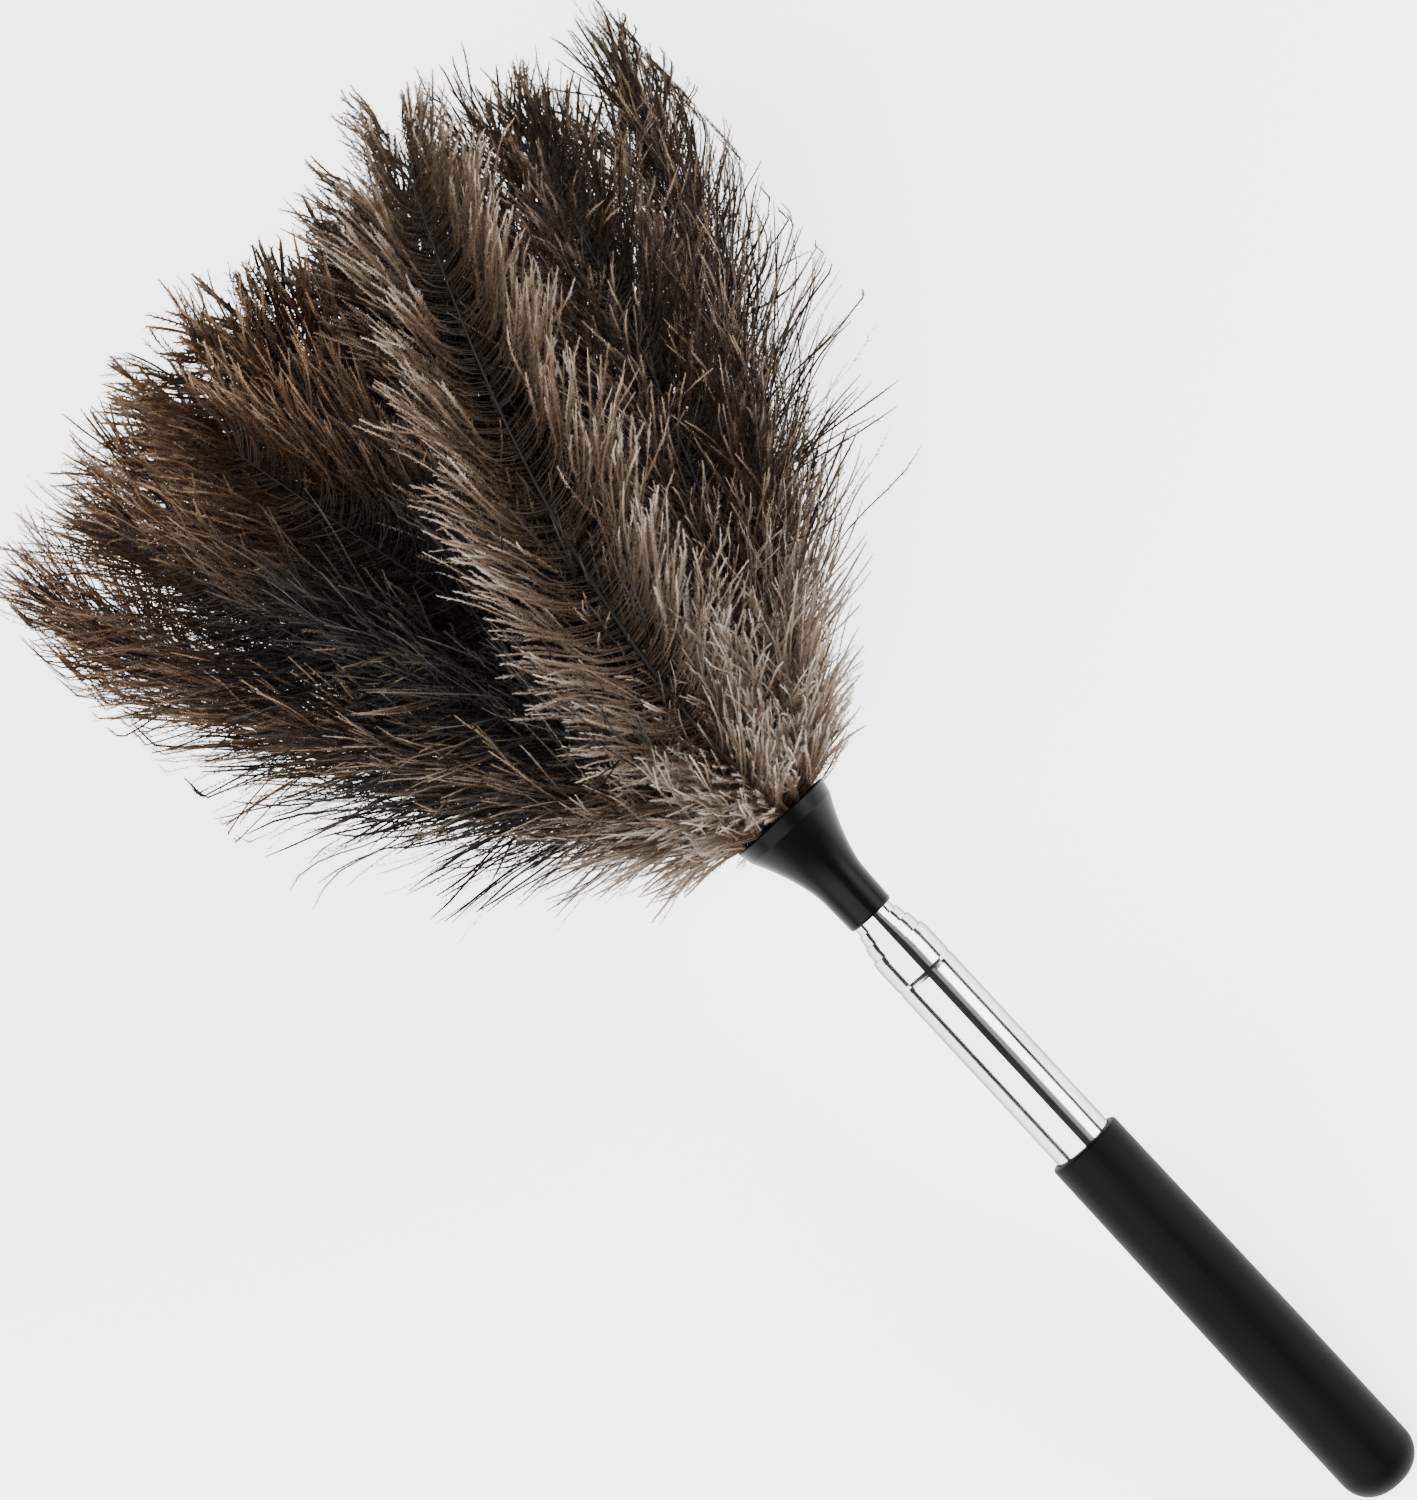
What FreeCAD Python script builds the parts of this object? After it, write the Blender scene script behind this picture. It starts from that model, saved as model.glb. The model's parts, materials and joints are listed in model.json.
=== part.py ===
"""Telescopic ostrich feather duster, lying on a flat surface.

Everything is first modelled about the pole's own axis, +X, with X = 0 at the butt of the
grip and lengths in millimetres. The whole duster is then tipped up until it rests on its
butt and on the tips of its outer feathers, and moved so that the origin is on the surface,
under the middle of its bounding box. +X points from the grip to the feathers, +Z is up.
"""

import FreeCAD, Part
import math
import os

V = FreeCAD.Vector
AXIS = V(1, 0, 0)

# ---- grip: a soft sleeve, closed and rounded at the butt
GRIP_LENGTH = 151.7
GRIP_BUTT_RADIUS = 14.0
GRIP_RIM_RADIUS = 13.5
GRIP_STRAIGHT = 62.0        # full radius up to here, then a gentle taper to the rim
GRIP_NOSE = 10.8            # rounding of the butt
GRIP_RIM_ROUND = 1.1
GRIP_END_WALL = 5.0

# ---- telescopic pole: thin steel tubes, largest first
POLE_RADIUS = 11.0          # outside of the largest tube
TUBE_WALL = 0.6
TUBE_STEP = 1.2             # each tube's radius is this much smaller than the last
MOUTHS = (241.8, 247.0, 251.2)   # where the three necked mouths end, butt to feathers
NECK_LENGTH = 2.6
GROOVE_BACK = 13.5          # rolled groove, behind the mouth
GROOVE_DEPTH = 0.35
GROOVE_HALF = 1.2
LIP_HEIGHT = 0.3            # turned-out lip and rolled bead that hold the glide bush
LIP_LENGTH = 0.6
BEAD_HALF = 1.0
BUSH_LENGTH = 12.0
BUSH_SLOT = 1.6
RUNNING = 0.05              # radial running clearance
MOUTH_CLEARANCE = 0.12
END_PLAY = 0.1
LANDING = 0.2               # gap under a tube that is pushed right home

# ---- closed end of the pole, inside the grip
PLUG_FLANGE = 2.0
PLUG_SPIGOT = 4.0
PLUG_WALL = 1.6
PAD_THICKNESS = 2.5
PAD_DISH = 0.8

# ---- ferrule: the flared plastic cap that hides the bound quills
FERRULE_START = 254.0
FERRULE_LENGTH = 44.6
FERRULE_FOOT_WALL = 1.2     # from the last tube to the outside of the foot
FERRULE_NECK_WALL = 1.55    # and to the outside of the neck, where the flare starts
FERRULE_MOUTH_RADIUS = 18.6
FERRULE_LIP = 5.4           # steeper band at the mouth, from the end of the flare on
FERRULE_LIP_RISE = 1.1      # how much wider the mouth is than the start of that band
FERRULE_WALL = 1.7
FERRULE_ROUND = 1.0
FERRULE_EDGE = 0.7          # rounding of the mouth's outer edge
FLARE_POWER = 1.6           # the flare opens slowly and then ever faster

# ---- core that the quills are bound round
TUBE_IN_FERRULE = 11.5
ADAPTER_SPIGOT = 14.0
ADAPTER_FLANGE = 1.5
ADAPTER_WEB = 3.0
ADAPTER_WALL = 1.5
DOWEL_RADIUS = 3.5
DOWEL_SOCKET = 5.2
DOWEL_ABOVE_MOUTH = 14.0
DOWEL_NOSE = 1.6
SCREW_HEAD_RADIUS = 3.2
SCREW_HEAD_HEIGHT = 2.0
SCREW_SHANK_RADIUS = 1.5
SCREW_THREAD_DEPTH = 0.35
SCREW_PITCH = 1.6
SCREW_BITE = 15.0
SCREW_CLEARANCE = 0.3
SCREW_SLOT = (0.8, 3.6, 1.1)     # width, length and depth of each arm of the cross
WASHER_RADIUS = 4.2
WASHER_THICKNESS = 0.8

# ---- feathers, in four rings from the core outwards
QUILL = 1.8
BLADE = 1.0                 # thickness of a feather's vane
VANE_SHARE = 0.86           # share of its ring's pitch that a vane fills
THREAD = 0.5                # diameter of the binding thread
RING_GAP = 0.08             # between quills and the thread or core beside them
QUILL_LIFT = 1.0            # from the socket, or from where the flare has room, to a quill
# name, feathers, middle pull (x, r) and tip (x, r) of the spine, x from the mouth
RINGS = (
    ("core", 6, (161.0, 16.0), (264.0, 23.0)),
    ("inner", 8, (151.0, 42.0), (256.0, 57.0)),
    ("middle", 10, (134.0, 72.0), (240.0, 91.0)),
    ("outer", 12, (111.0, 104.0), (208.0, 124.0)),
)
BINDING_TURNS = 7
BINDING_BACK = 2.5          # from the ends of the quills to their binding
SPREAD_START = 20.0         # how far past the mouth the spines keep near the axis
SPREAD_SLOPES = (0.05, 0.14, 0.26, 0.5)
STATIONS = (0.0, 0.08, 0.2, 0.36, 0.54, 0.72, 0.86, 0.95, 1.0)
VANE_SHAPE = (0.0, 0.1, 0.55, 0.92, 1.0, 1.0, 0.88, 0.66, 0.34)


# ---------------------------------------------------------------- helpers
def at(x, r):
    """A point of a turned outline, x along the axis and r from it."""
    return V(x, 0, r)


def ring_point(x, r, angle):
    """A point at x along the axis, r from it, turned from straight up."""
    return V(x, r * math.sin(angle), r * math.cos(angle))


def outline(corners):
    """A closed wire through (x, r) corners. A third number rounds that corner."""
    count = len(corners)
    edges, start, last = [], None, None
    for i, corner in enumerate(corners):
        here = at(*corner[:2])
        before, after = at(*corners[i - 1][:2]), at(*corners[(i + 1) % count][:2])
        radius = corner[2] if len(corner) > 2 else 0
        if radius:
            back, ahead = (before - here).normalize(), (after - here).normalize()
            half = back.getAngle(ahead) / 2
            reach = radius / math.tan(half)
            middle = (back + ahead).normalize() * (radius / math.sin(half) - radius)
            first, end = here + back * reach, here + ahead * reach
            arc = Part.Arc(first, here + middle, end).toShape()
        else:
            first = end = here
            arc = None
        if last is not None and last.distanceToPoint(first) > 1e-6:
            edges.append(Part.LineSegment(last, first).toShape())
        if arc:
            edges.append(arc)
        start = start or first
        last = end
    if last.distanceToPoint(start) > 1e-6:
        edges.append(Part.LineSegment(last, start).toShape())
    return Part.Wire(edges)


def turned(wire):
    """The closed wire turned a full circle about the pole's axis."""
    return Part.Face(wire).revolve(V(0, 0, 0), AXIS, 360)


def rod(start, end, radius):
    return Part.makeCylinder(radius, end - start, V(start, 0, 0), AXIS)


# ---------------------------------------------------------------- pole
def tube_radius(number):
    return POLE_RADIUS - number * TUBE_STEP


POLE_BOTTOM = GRIP_END_WALL + PLUG_FLANGE
PAD_TOP = POLE_BOTTOM + PLUG_SPIGOT + PAD_THICKNESS
SLIDER_BOTTOM = PAD_TOP + LANDING
BUSH_BOTTOM = SLIDER_BOTTOM + LIP_LENGTH + END_PLAY
BEAD_MIDDLE = BUSH_BOTTOM + BUSH_LENGTH + END_PLAY + BEAD_HALF
LAST_TUBE_TOP = FERRULE_START + TUBE_IN_FERRULE
LAST_TUBE = len(MOUTHS)


def groove_of(number):
    return MOUTHS[number] - GROOVE_BACK


def travel(number):
    """How far tube `number` slides out before its bead meets the groove round it."""
    return groove_of(number - 1) - GROOVE_HALF - (BEAD_MIDDLE + BEAD_HALF) - LANDING


def pole_tube(number):
    """One thin tube: lip and bead at its foot, groove and necked mouth at its top."""
    radius = tube_radius(number)
    skin = []
    if number == 0:
        skin.append((POLE_BOTTOM, 0))
    else:
        skin += [
            (SLIDER_BOTTOM, LIP_HEIGHT),
            (SLIDER_BOTTOM + LIP_LENGTH, LIP_HEIGHT),
            (SLIDER_BOTTOM + LIP_LENGTH, 0),
            (BEAD_MIDDLE - BEAD_HALF, 0),
            (BEAD_MIDDLE, LIP_HEIGHT),
            (BEAD_MIDDLE + BEAD_HALF, 0),
        ]
    if number < LAST_TUBE:
        mouth, groove = MOUTHS[number], groove_of(number)
        mouth_inside = tube_radius(number + 1) + MOUTH_CLEARANCE
        drop = radius - TUBE_WALL - mouth_inside
        skin += [
            (groove - GROOVE_HALF, 0),
            (groove, -GROOVE_DEPTH),
            (groove + GROOVE_HALF, 0),
            (mouth - NECK_LENGTH, 0),
            (mouth - NECK_LENGTH * 0.45, -drop * 0.6),
            (mouth, -drop),
        ]
    else:
        skin.append((LAST_TUBE_TOP, 0))
    outside = [(x, radius + out) for x, out in skin]
    # The lip is only turned out, so the bore runs straight to the foot under it.
    bore = [(x, out) for x, out in skin if not (number and x == SLIDER_BOTTOM + LIP_LENGTH)]
    if number:
        bore[0] = (SLIDER_BOTTOM, 0)
    inside = [(x, radius - TUBE_WALL + out) for x, out in reversed(bore)]
    return turned(outline(outside + inside))


def neck_liner(number):
    """Plastic ring held between a tube's neck and its groove. The next tube runs in it."""
    start = groove_of(number) + GROOVE_HALF
    end = MOUTHS[number] - NECK_LENGTH
    inside = tube_radius(number + 1) + RUNNING
    outside = tube_radius(number) - TUBE_WALL
    round_off = 0.15
    return turned(outline([
        (start, inside, round_off), (start, outside), (end, outside), (end, inside, round_off),
    ]))


def glide_bush(number):
    """Split plastic bush at a tube's foot, between its lip and bead. The tube turns in it."""
    inside = tube_radius(number) + RUNNING
    outside = tube_radius(number - 1) - TUBE_WALL - RUNNING
    end = BUSH_BOTTOM + BUSH_LENGTH
    round_off = 0.15
    ring = turned(outline([
        (BUSH_BOTTOM, inside), (BUSH_BOTTOM, outside, round_off),
        (end, outside, round_off), (end, inside),
    ]))
    slot = Part.makeBox(
        BUSH_LENGTH + 2, BUSH_SLOT, outside + 1, V(BUSH_BOTTOM - 1, -BUSH_SLOT / 2, 0)
    )
    return ring.cut(slot)


def grip_sleeve():
    """Soft sleeve over the largest tube, closed at the butt, its rim rounded off."""
    bore = POLE_RADIUS
    return turned(outline([
        (0, 0),
        (0, GRIP_BUTT_RADIUS, GRIP_NOSE),
        (GRIP_STRAIGHT, GRIP_BUTT_RADIUS),
        (GRIP_LENGTH, GRIP_RIM_RADIUS, GRIP_RIM_ROUND),
        (GRIP_LENGTH, bore, 0.4),
        (GRIP_END_WALL, bore),
        (GRIP_END_WALL, 0),
    ]))


def butt_plug():
    """Plastic plug that closes the pole: a flange under the tube and a hollow spigot in it."""
    inside = POLE_RADIUS - TUBE_WALL
    top = POLE_BOTTOM + PLUG_SPIGOT
    return turned(outline([
        (GRIP_END_WALL, 0),
        (GRIP_END_WALL, POLE_RADIUS),
        (POLE_BOTTOM, POLE_RADIUS),
        (POLE_BOTTOM, inside),
        (top, inside, 0.4),
        (top, inside - PLUG_WALL),
        (POLE_BOTTOM, inside - PLUG_WALL),
        (POLE_BOTTOM, 0),
    ]))


def bump_pad():
    """Rubber disc on the plug that the sliding tubes land on."""
    radius = POLE_RADIUS - TUBE_WALL - RUNNING
    start = POLE_BOTTOM + PLUG_SPIGOT
    hub = radius * 0.45
    return turned(outline([
        (start, 0), (start, radius), (PAD_TOP, radius, 0.3),
        (PAD_TOP, hub + PAD_DISH), (PAD_TOP - PAD_DISH, hub), (PAD_TOP - PAD_DISH, 0),
    ]))


# ---------------------------------------------------------------- ferrule and core
MOUTH = FERRULE_START + FERRULE_LENGTH
FLANGE_TOP = LAST_TUBE_TOP + ADAPTER_FLANGE
FERRULE_FOOT_RADIUS = tube_radius(LAST_TUBE) + FERRULE_FOOT_WALL
FERRULE_NECK_RADIUS = tube_radius(LAST_TUBE) + FERRULE_NECK_WALL
FLARE_RADIUS = FERRULE_MOUTH_RADIUS - FERRULE_LIP_RISE


def flare(offset):
    """Edge of the ferrule's flare from neck to lip, pushed inwards by the wall."""
    start, end = FLANGE_TOP, MOUTH - FERRULE_LIP
    neck, lip = FERRULE_NECK_RADIUS - offset, FLARE_RADIUS - offset
    shares = (0.0, 0.25, 0.5, 0.72, 0.88, 1.0)
    points = [
        at(start + (end - start) * s, neck + (lip - neck) * s ** FLARE_POWER) for s in shares
    ]
    steep = FLARE_POWER * (lip - neck) / (end - start)
    curve = Part.BSplineCurve()
    curve.interpolate(Points=points, InitialTangent=V(1, 0, 0.02), FinalTangent=V(1, 0, steep))
    return curve.toShape(), points[0], points[-1]


def ferrule():
    """Flared cap: its bore seats on the adapter's flange, then a flare and a rounded lip."""
    bore = tube_radius(LAST_TUBE)
    outer, outer_start, outer_end = flare(0)
    inner, inner_start, inner_end = flare(FERRULE_WALL)
    edge = FERRULE_ROUND
    diagonal = edge * (1 - math.sqrt(0.5))
    foot = [
        Part.LineSegment(inner_start, at(FLANGE_TOP, bore)),
        Part.LineSegment(at(FLANGE_TOP, bore), at(FERRULE_START, bore)),
        Part.LineSegment(
            at(FERRULE_START, bore), at(FERRULE_START, FERRULE_FOOT_RADIUS - edge)
        ),
        Part.Arc(
            at(FERRULE_START, FERRULE_FOOT_RADIUS - edge),
            at(FERRULE_START + diagonal, FERRULE_FOOT_RADIUS - diagonal),
            at(FERRULE_START + edge, FERRULE_FOOT_RADIUS),
        ),
        Part.LineSegment(at(FERRULE_START + edge, FERRULE_FOOT_RADIUS), outer_start),
    ]
    turn = FERRULE_EDGE * (1 - math.sqrt(0.5))
    crest = at(MOUTH - FERRULE_EDGE, FERRULE_MOUTH_RADIUS)
    crown = at(MOUTH - turn, FERRULE_MOUTH_RADIUS - turn)
    face_out = at(MOUTH, FERRULE_MOUTH_RADIUS - FERRULE_EDGE)
    face_in = at(MOUTH, FERRULE_MOUTH_RADIUS - FERRULE_WALL)
    mouth = [
        Part.LineSegment(outer_end, crest), Part.Arc(crest, crown, face_out),
        Part.LineSegment(face_out, face_in), Part.LineSegment(face_in, inner_end),
    ]
    edges = [e.toShape() for e in foot] + [outer] + [e.toShape() for e in mouth] + [inner]
    return turned(Part.Wire(Part.__sortEdges__(edges)))


def head_adapter():
    """Plastic joint of pole and head: spigot in the last tube, flange, and a dowel socket."""
    spigot = tube_radius(LAST_TUBE) - TUBE_WALL
    web_start = FLANGE_TOP - ADAPTER_WEB
    return turned(outline([
        (LAST_TUBE_TOP - ADAPTER_SPIGOT, WASHER_RADIUS + SCREW_CLEARANCE),
        (LAST_TUBE_TOP - ADAPTER_SPIGOT, spigot, 0.6),
        (LAST_TUBE_TOP, spigot),
        (LAST_TUBE_TOP, spigot + TUBE_WALL),
        (FLANGE_TOP, spigot + TUBE_WALL),
        (FLANGE_TOP, DOWEL_RADIUS + ADAPTER_WALL),
        (FLANGE_TOP + DOWEL_SOCKET, DOWEL_RADIUS + ADAPTER_WALL, 0.3),
        (FLANGE_TOP + DOWEL_SOCKET, DOWEL_RADIUS),
        (FLANGE_TOP, DOWEL_RADIUS),
        (FLANGE_TOP, SCREW_SHANK_RADIUS + SCREW_CLEARANCE),
        (web_start, SCREW_SHANK_RADIUS + SCREW_CLEARANCE),
        (web_start, WASHER_RADIUS + SCREW_CLEARANCE),
    ]))


WASHER_START = FLANGE_TOP - ADAPTER_WEB - WASHER_THICKNESS
SCREW_TIP = FLANGE_TOP + SCREW_BITE


def core_washer():
    hole = SCREW_SHANK_RADIUS + SCREW_CLEARANCE
    end = WASHER_START + WASHER_THICKNESS
    return rod(WASHER_START, end, WASHER_RADIUS).cut(rod(WASHER_START, end, hole))


def core_screw():
    """Cross-head screw from inside the pole into the dowel, its thread as ridges."""
    corners = [
        (WASHER_START - SCREW_HEAD_HEIGHT, 0),
        (WASHER_START - SCREW_HEAD_HEIGHT, SCREW_HEAD_RADIUS, 1.0),
        (WASHER_START, SCREW_HEAD_RADIUS),
        (WASHER_START, SCREW_SHANK_RADIUS),
    ]
    root = SCREW_SHANK_RADIUS - SCREW_THREAD_DEPTH
    point = 3 * SCREW_SHANK_RADIUS
    ridges = int((SCREW_BITE - point) / SCREW_PITCH)
    for i in range(ridges):
        start = FLANGE_TOP + i * SCREW_PITCH
        corners += [(start + 0.1, SCREW_SHANK_RADIUS), (start + SCREW_PITCH * 0.45, root)]
        corners += [(start + SCREW_PITCH * 0.8, root)]
    corners += [
        (FLANGE_TOP + ridges * SCREW_PITCH + 0.1, SCREW_SHANK_RADIUS),
        (SCREW_TIP, 0),
    ]
    screw = turned(outline(corners))
    width, length, depth = SCREW_SLOT
    for across, tall in ((width, length), (length, width)):
        corner = V(WASHER_START - SCREW_HEAD_HEIGHT, -across / 2, -tall / 2)
        screw = screw.cut(Part.makeBox(depth, across, tall, corner))
    return screw


def core_dowel():
    """Wooden peg that the quills are bound round, cut by the screw's own thread."""
    top = MOUTH + DOWEL_ABOVE_MOUTH
    peg = turned(outline([
        (FLANGE_TOP, 0), (FLANGE_TOP, DOWEL_RADIUS), (top, DOWEL_RADIUS, DOWEL_NOSE), (top, 0),
    ]))
    return peg.cut(core_screw())


# ---------------------------------------------------------------- feathers
def quill_circle(ring):
    """Radius of the circle that a ring's quills stand on, clear of the binding inside it."""
    first = DOWEL_RADIUS + RING_GAP + QUILL / 2
    return first + ring * (QUILL + THREAD + 2 * RING_GAP)


def quill_foot(ring):
    """Where a ring's quills start: above the dowel's socket, as deep as the flare has room."""
    neck, lip = FERRULE_NECK_RADIUS - FERRULE_WALL, FLARE_RADIUS - FERRULE_WALL
    needed = quill_circle(ring) + QUILL / 2 + RING_GAP + THREAD / 2
    share = max(0, (needed - neck) / (lip - neck)) ** (1 / FLARE_POWER)
    roomy = FLANGE_TOP + (MOUTH - FERRULE_LIP - FLANGE_TOP) * share
    return max(FLANGE_TOP + DOWEL_SOCKET, roomy) + QUILL_LIFT


def binding(ring):
    """Thread wound round one ring of quills: turns side by side, as one ribbed band."""
    inside = quill_circle(ring) + QUILL / 2 + RING_GAP
    start = quill_foot(ring) + BINDING_BACK
    end = start + BINDING_TURNS * THREAD
    edges = [
        Part.LineSegment(at(end, inside + THREAD / 2), at(end, inside)).toShape(),
        Part.LineSegment(at(end, inside), at(start, inside)).toShape(),
        Part.LineSegment(at(start, inside), at(start, inside + THREAD / 2)).toShape(),
    ]
    for turn in range(BINDING_TURNS):
        x = start + turn * THREAD
        edges.append(Part.Arc(
            at(x, inside + THREAD / 2),
            at(x + THREAD / 2, inside + THREAD),
            at(x + THREAD, inside + THREAD / 2),
        ).toShape())
    return turned(Part.Wire(Part.__sortEdges__(edges)))


def spine(ring, share):
    """(x past the mouth, r) of a feather's spine: a cubic that leaves the mouth and splays."""
    pull, tip = RINGS[ring][2:]
    root = quill_circle(ring)
    rest = 1 - share
    a, b, c, d = rest ** 3, 3 * share * rest ** 2, 3 * share ** 2 * rest, share ** 3
    lean = root + SPREAD_START * SPREAD_SLOPES[ring]
    return (
        b * SPREAD_START + c * pull[0] + d * tip[0],
        a * root + b * lean + c * pull[1] + d * tip[1],
    )


def vane_section(x, r, angle, width, thickness):
    """Cross-section of a vane: a strip bent round the pole's axis."""
    low, high, half = r - thickness / 2, r + thickness / 2, width / 2 / r
    left, right = angle - half, angle + half
    inner = Part.Arc(ring_point(x, low, left), ring_point(x, low, angle), ring_point(x, low, right))
    outer = Part.Arc(
        ring_point(x, high, right), ring_point(x, high, angle), ring_point(x, high, left)
    )
    return Part.Wire([
        inner.toShape(),
        Part.LineSegment(inner.EndPoint, outer.StartPoint).toShape(),
        outer.toShape(),
        Part.LineSegment(outer.EndPoint, inner.StartPoint).toShape(),
    ])


def vane_width(ring, share_at, r):
    count = RINGS[ring][1]
    widest = VANE_SHARE * 2 * math.pi * r / count
    return QUILL + (widest - QUILL) * share_at


def feather_angle(ring, number):
    """Turn from straight up. The outer ring stands the duster on two feathers."""
    count = RINGS[ring][1]
    return 2 * math.pi * (number + 0.5) / count


def feather(ring, number):
    """One feather: a straight quill in the ferrule, then its vane as a thin curved blade."""
    angle = feather_angle(ring, number)
    start = quill_foot(ring)
    foot = vane_section(start, quill_circle(ring), angle, QUILL, QUILL)
    quill = Part.Face(foot).extrude(V(MOUTH - start, 0, 0))
    sections = []
    for share, shape in zip(STATIONS, VANE_SHAPE):
        x, r = spine(ring, share)
        thickness = QUILL + (BLADE - QUILL) * min(1, shape * 4)
        sections.append(vane_section(MOUTH + x, r, angle, vane_width(ring, shape, r), thickness))
    vane = Part.makeLoft(sections, True, False)
    return quill.fuse(vane)


# ---------------------------------------------------------------- the whole duster
def build():
    """Every piece by name, about the pole's axis."""
    pieces = {"grip_sleeve": grip_sleeve(), "butt_plug": butt_plug(), "bump_pad": bump_pad()}
    for number in range(LAST_TUBE + 1):
        pieces[f"pole_tube_{number + 1}"] = pole_tube(number)
        if number < LAST_TUBE:
            pieces[f"neck_liner_{number + 1}"] = neck_liner(number)
        if number:
            pieces[f"glide_bush_{number + 1}"] = glide_bush(number)
    pieces["ferrule"] = ferrule()
    pieces["head_adapter"] = head_adapter()
    pieces["core_washer"] = core_washer()
    pieces["core_screw"] = core_screw()
    pieces["core_dowel"] = core_dowel()
    for ring, (name, count, *_) in enumerate(RINGS):
        pieces[f"binding_{name}"] = binding(ring)
        for number in range(count):
            pieces[f"feather_{name}_{number + 1:02d}"] = feather(ring, number)
    return pieces


def lowest_feather_points():
    """Edge points of the outer vanes that can touch the surface, as (x, height)."""
    ring = len(RINGS) - 1
    points = []
    for number in range(RINGS[ring][1]):
        for share, shape in zip(STATIONS, VANE_SHAPE):
            x, r = spine(ring, share)
            half = vane_width(ring, shape, r) / 2 / r
            for side in (-1, 0, 1):
                p = ring_point(MOUTH + x, r + BLADE / 2, feather_angle(ring, number) + side * half)
                points.append((p.x, p.z))
    return points


def resting_tilt():
    """Angle at which the rounded butt and the lowest feather are at one height."""
    nose_x, nose_r = GRIP_NOSE, GRIP_BUTT_RADIUS - GRIP_NOSE
    points = lowest_feather_points()

    def gap(tilt):
        butt = nose_x * math.sin(tilt) - nose_r * math.cos(tilt) - GRIP_NOSE
        return min(x * math.sin(tilt) + z * math.cos(tilt) for x, z in points) - butt

    low, high = 0.0, math.radians(45)
    for _ in range(50):
        middle = (low + high) / 2
        low, high = (middle, high) if gap(middle) < 0 else (low, middle)
    return (low + high) / 2


TILT = resting_tilt()


def placed(pieces):
    """Tips the duster up by its resting tilt and puts the origin under its middle."""
    for shape in pieces.values():
        shape.rotate(V(0, 0, 0), V(0, -1, 0), math.degrees(TILT))
    boxes = [shape.optimalBoundingBox(False, False) for shape in pieces.values()]
    middle_x = (min(b.XMin for b in boxes) + max(b.XMax for b in boxes)) / 2
    middle_y = (min(b.YMin for b in boxes) + max(b.YMax for b in boxes)) / 2
    shift = V(-middle_x, -middle_y, -min(b.ZMin for b in boxes))
    for shape in pieces.values():
        shape.translate(shift)
    return pieces, shift


PIECES, SHIFT = placed(build())

os.makedirs("parts", exist_ok=True)
for name, shape in PIECES.items():
    shape.exportStep(f"parts/{name}.step")
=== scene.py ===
"""Looks of the telescopic ostrich feather duster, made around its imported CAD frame."""
import json
import math
from collections import namedtuple
import bpy
import numpy as np
from mathutils import Matrix


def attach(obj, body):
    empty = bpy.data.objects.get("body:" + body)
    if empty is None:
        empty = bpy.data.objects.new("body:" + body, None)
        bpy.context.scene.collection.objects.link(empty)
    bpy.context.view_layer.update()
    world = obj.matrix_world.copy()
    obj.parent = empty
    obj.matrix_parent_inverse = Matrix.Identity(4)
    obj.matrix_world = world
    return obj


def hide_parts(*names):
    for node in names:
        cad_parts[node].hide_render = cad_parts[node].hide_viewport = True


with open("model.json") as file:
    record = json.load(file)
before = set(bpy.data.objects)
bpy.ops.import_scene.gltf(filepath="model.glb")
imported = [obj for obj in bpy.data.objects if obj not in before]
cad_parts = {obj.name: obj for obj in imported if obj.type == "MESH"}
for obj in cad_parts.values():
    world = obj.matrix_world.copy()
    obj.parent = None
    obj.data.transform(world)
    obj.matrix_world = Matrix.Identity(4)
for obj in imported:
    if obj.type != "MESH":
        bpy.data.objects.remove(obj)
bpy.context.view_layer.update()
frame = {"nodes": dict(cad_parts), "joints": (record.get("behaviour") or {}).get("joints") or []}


# ---- the pole's axis -----------------------------------------------------------------
# Everything on the duster is turned about one axis, which rises from the butt of the grip
# to the feathers. The swivel joints give it: every place below is measured along it,
# away from it and round it, from straight up.
swivels = [joint for joint in frame["joints"] if joint["type"] == "hinge"]
pole_axis = np.array(swivels[0]["axis"], float)
pole_point = np.array(swivels[0]["pos_m"], float)
pole_up = np.cross(pole_axis, (0.0, 1.0, 0.0))
pole_up *= math.copysign(1 / np.linalg.norm(pole_up), pole_up[2])
pole_side = np.cross(pole_up, pole_axis)
pole_tilt = math.asin(pole_axis[2])


def along_pole(points):
    """Distance of each point along the pole's axis, from the first swivel."""
    return (points - pole_point) @ pole_axis


def points_of(node):
    """Every vertex of a CAD node, in metres."""
    mesh = frame["nodes"][node].data
    flat = np.empty(len(mesh.vertices) * 3)
    mesh.vertices.foreach_get("co", flat)
    return flat.reshape(-1, 3)


butt = along_pole(points_of("grip_sleeve")).min()
mouth = along_pole(points_of("ferrule")).max()


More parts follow.
